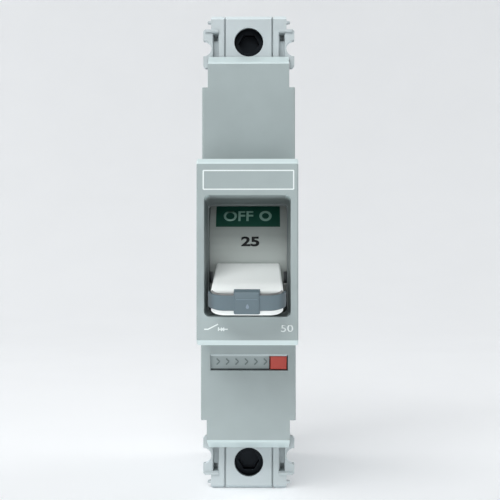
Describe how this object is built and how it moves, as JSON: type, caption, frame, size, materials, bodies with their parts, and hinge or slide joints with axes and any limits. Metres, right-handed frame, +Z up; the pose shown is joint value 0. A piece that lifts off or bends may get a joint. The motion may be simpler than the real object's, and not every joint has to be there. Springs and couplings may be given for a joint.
{
  "type": "moulded case circuit breaker",
  "caption": "Narrow moulded case circuit breaker with a front toggle, push-to-trip button, cage terminals at both ends and a working switching mechanism inside.",
  "frame": {"origin": "centre of the back mounting face", "axes": "+X across the width, +Y out of the back towards the panel, +Z up the height; the toggle faces -Y"},
  "size_m": [0.025, 0.0775, 0.13],
  "materials": {
    "case_moulding": "fine matt grey moulding",
    "base_moulding": "fine matt pale grey moulding",
    "shroud_moulding": "fine matt pale grey moulding",
    "toggle_moulding": "satin white moulding",
    "band_moulding": "satin slate grey moulding",
    "button_moulding": "satin red moulding",
    "dark_moulding": "black moulding",
    "fibre_board": "pressed fibre board",
    "steel": "blued and plain steel",
    "plated_steel": "zinc plated steel",
    "spring_steel": "drawn wire",
    "copper": "tinned and bare copper",
    "brass": "brass",
    "silver": "silver contact"
  },
  "bodies": {
    "case": {"case_base": "base_moulding", "case_cover": "case_moulding", "line_shroud": "shroud_moulding", "load_shroud": "shroud_moulding", "cover_screw_1": "plated_steel", "cover_screw_2": "plated_steel", "cover_screw_3": "plated_steel", "cover_screw_4": "plated_steel", "frame_plate_left": "steel", "frame_plate_right": "steel", "frame_spacer_upper": "plated_steel", "frame_spacer_lower": "plated_steel", "arm_pivot_pin": "plated_steel", "cradle": "steel", "cradle_pin": "plated_steel", "cradle_link_pin": "plated_steel", "contact_braid": "copper", "fixed_contact": "silver", "line_strap": "copper", "load_strap": "copper", "arc_plate_1": "steel", "arc_plate_2": "steel", "arc_plate_3": "steel", "arc_plate_4": "steel", "arc_plate_5": "steel", "arc_plate_6": "steel", "arc_side_left": "fibre_board", "arc_side_right": "fibre_board", "arc_vent": "fibre_board", "heater_strip": "copper", "bimetal": "brass", "calibration_screw": "brass", "magnet_core": "steel", "trip_button_spring": "spring_steel"},
    "toggle": {"toggle_lever": "toggle_moulding", "toggle_band": "band_moulding", "toggle_shield": "toggle_moulding", "handle_yoke": "steel"},
    "main_springs": {"main_spring_left": "spring_steel", "main_spring_right": "spring_steel"},
    "moving_contact_arm": {"contact_arm": "copper", "contact_carrier": "steel", "moving_contact": "silver", "contact_spring": "spring_steel", "lower_link_pin": "plated_steel"},
    "upper_links": {"upper_link_left": "plated_steel", "upper_link_right": "plated_steel"},
    "lower_links": {"lower_link_left": "plated_steel", "lower_link_right": "plated_steel", "knee_pin": "plated_steel"},
    "trip_shaft": {"trip_bar": "dark_moulding", "latch_insert": "plated_steel"},
    "push_button": {"trip_button": "button_moulding"},
    "magnet_armature": {"armature": "steel"},
    "line_clamp": {"line_cage": "plated_steel"},
    "line_clamp_screw": {"line_screw": "steel"},
    "load_clamp": {"load_cage": "plated_steel"},
    "load_clamp_screw": {"load_screw": "steel"}
  },
  "joints": [
    {"name": "toggle_throw", "type": "hinge", "parent": "case", "child": "toggle", "pos_m": [0, -0.033, -0.001], "axis": [-1, 0, 0], "range_deg": [0, 30]},
    {"name": "main_spring_swing", "type": "hinge", "parent": "toggle", "child": "main_springs", "pos_m": [0, -0.04652, -0.00462], "axis": [1, 0, 0], "range_deg": [0, 24.6], "deforming": ["main_spring_left", "main_spring_right"]},
    {"name": "contact_close", "type": "hinge", "parent": "case", "child": "moving_contact_arm", "pos_m": [0, -0.012, -0.008], "axis": [-1, 0, 0], "range_deg": [0, 26.1], "deforming": ["contact_braid"]},
    {"name": "upper_link_swing", "type": "hinge", "parent": "case", "child": "upper_links", "pos_m": [0, -0.031, -0.0015], "axis": [1, 0, 0], "range_deg": [0, 42.8]},
    {"name": "lower_link_swing", "type": "hinge", "parent": "moving_contact_arm", "child": "lower_links", "pos_m": [0, -0.02022, -0.00255], "axis": [1, 0, 0], "range_deg": [0, 10.9]},
    {"name": "button_press", "type": "slide", "parent": "case", "child": "push_button", "axis": [0, 1, 0], "range_m": [0, 0.002], "stiffness_N_per_m": 500, "springref_m": -0.002, "deforming": ["trip_button_spring"]},
    {"name": "trip_bar_turn", "type": "hinge", "parent": "case", "child": "trip_shaft", "pos_m": [0, -0.026, -0.022], "axis": [1, 0, 0], "range_deg": [0, 17.6]},
    {"name": "armature_pull", "type": "hinge", "parent": "case", "child": "magnet_armature", "pos_m": [0, -0.018, -0.0279], "axis": [-1, 0, 0], "range_deg": [0, 5], "stiffness_Nm_per_rad": 0.02, "springref_deg": -5.73},
    {"name": "line_screw_turn", "type": "hinge", "parent": "case", "child": "line_clamp_screw", "pos_m": [0, -0.039, 0.0577], "axis": [0, 1, 0], "range_deg": [0, 2178]},
    {"name": "line_clamp_rise", "type": "slide", "parent": "case", "child": "line_clamp", "axis": [0, -1, 0], "range_m": [0, 0.006]},
    {"name": "load_screw_turn", "type": "hinge", "parent": "case", "child": "load_clamp_screw", "pos_m": [0, -0.039, -0.0577], "axis": [0, 1, 0], "range_deg": [0, 2178]},
    {"name": "load_clamp_rise", "type": "slide", "parent": "case", "child": "load_clamp", "axis": [0, -1, 0], "range_m": [0, 0.006]}
  ],
  "couplings": [
    {"joint": "contact_close", "follows": "toggle_throw", "ratio": 0.86667},
    {"joint": "upper_link_swing", "follows": "toggle_throw", "ratio": 1.4207},
    {"joint": "lower_link_swing", "follows": "toggle_throw", "ratio": 0.35964},
    {"joint": "main_spring_swing", "follows": "toggle_throw", "ratio": 0.81497},
    {"joint": "trip_bar_turn", "follows": "button_press", "rad_per_m": 152.72},
    {"joint": "line_screw_turn", "follows": "line_clamp_rise", "rad_per_m": 6283.2},
    {"joint": "load_screw_turn", "follows": "load_clamp_rise", "rad_per_m": 6283.2}
  ]
}
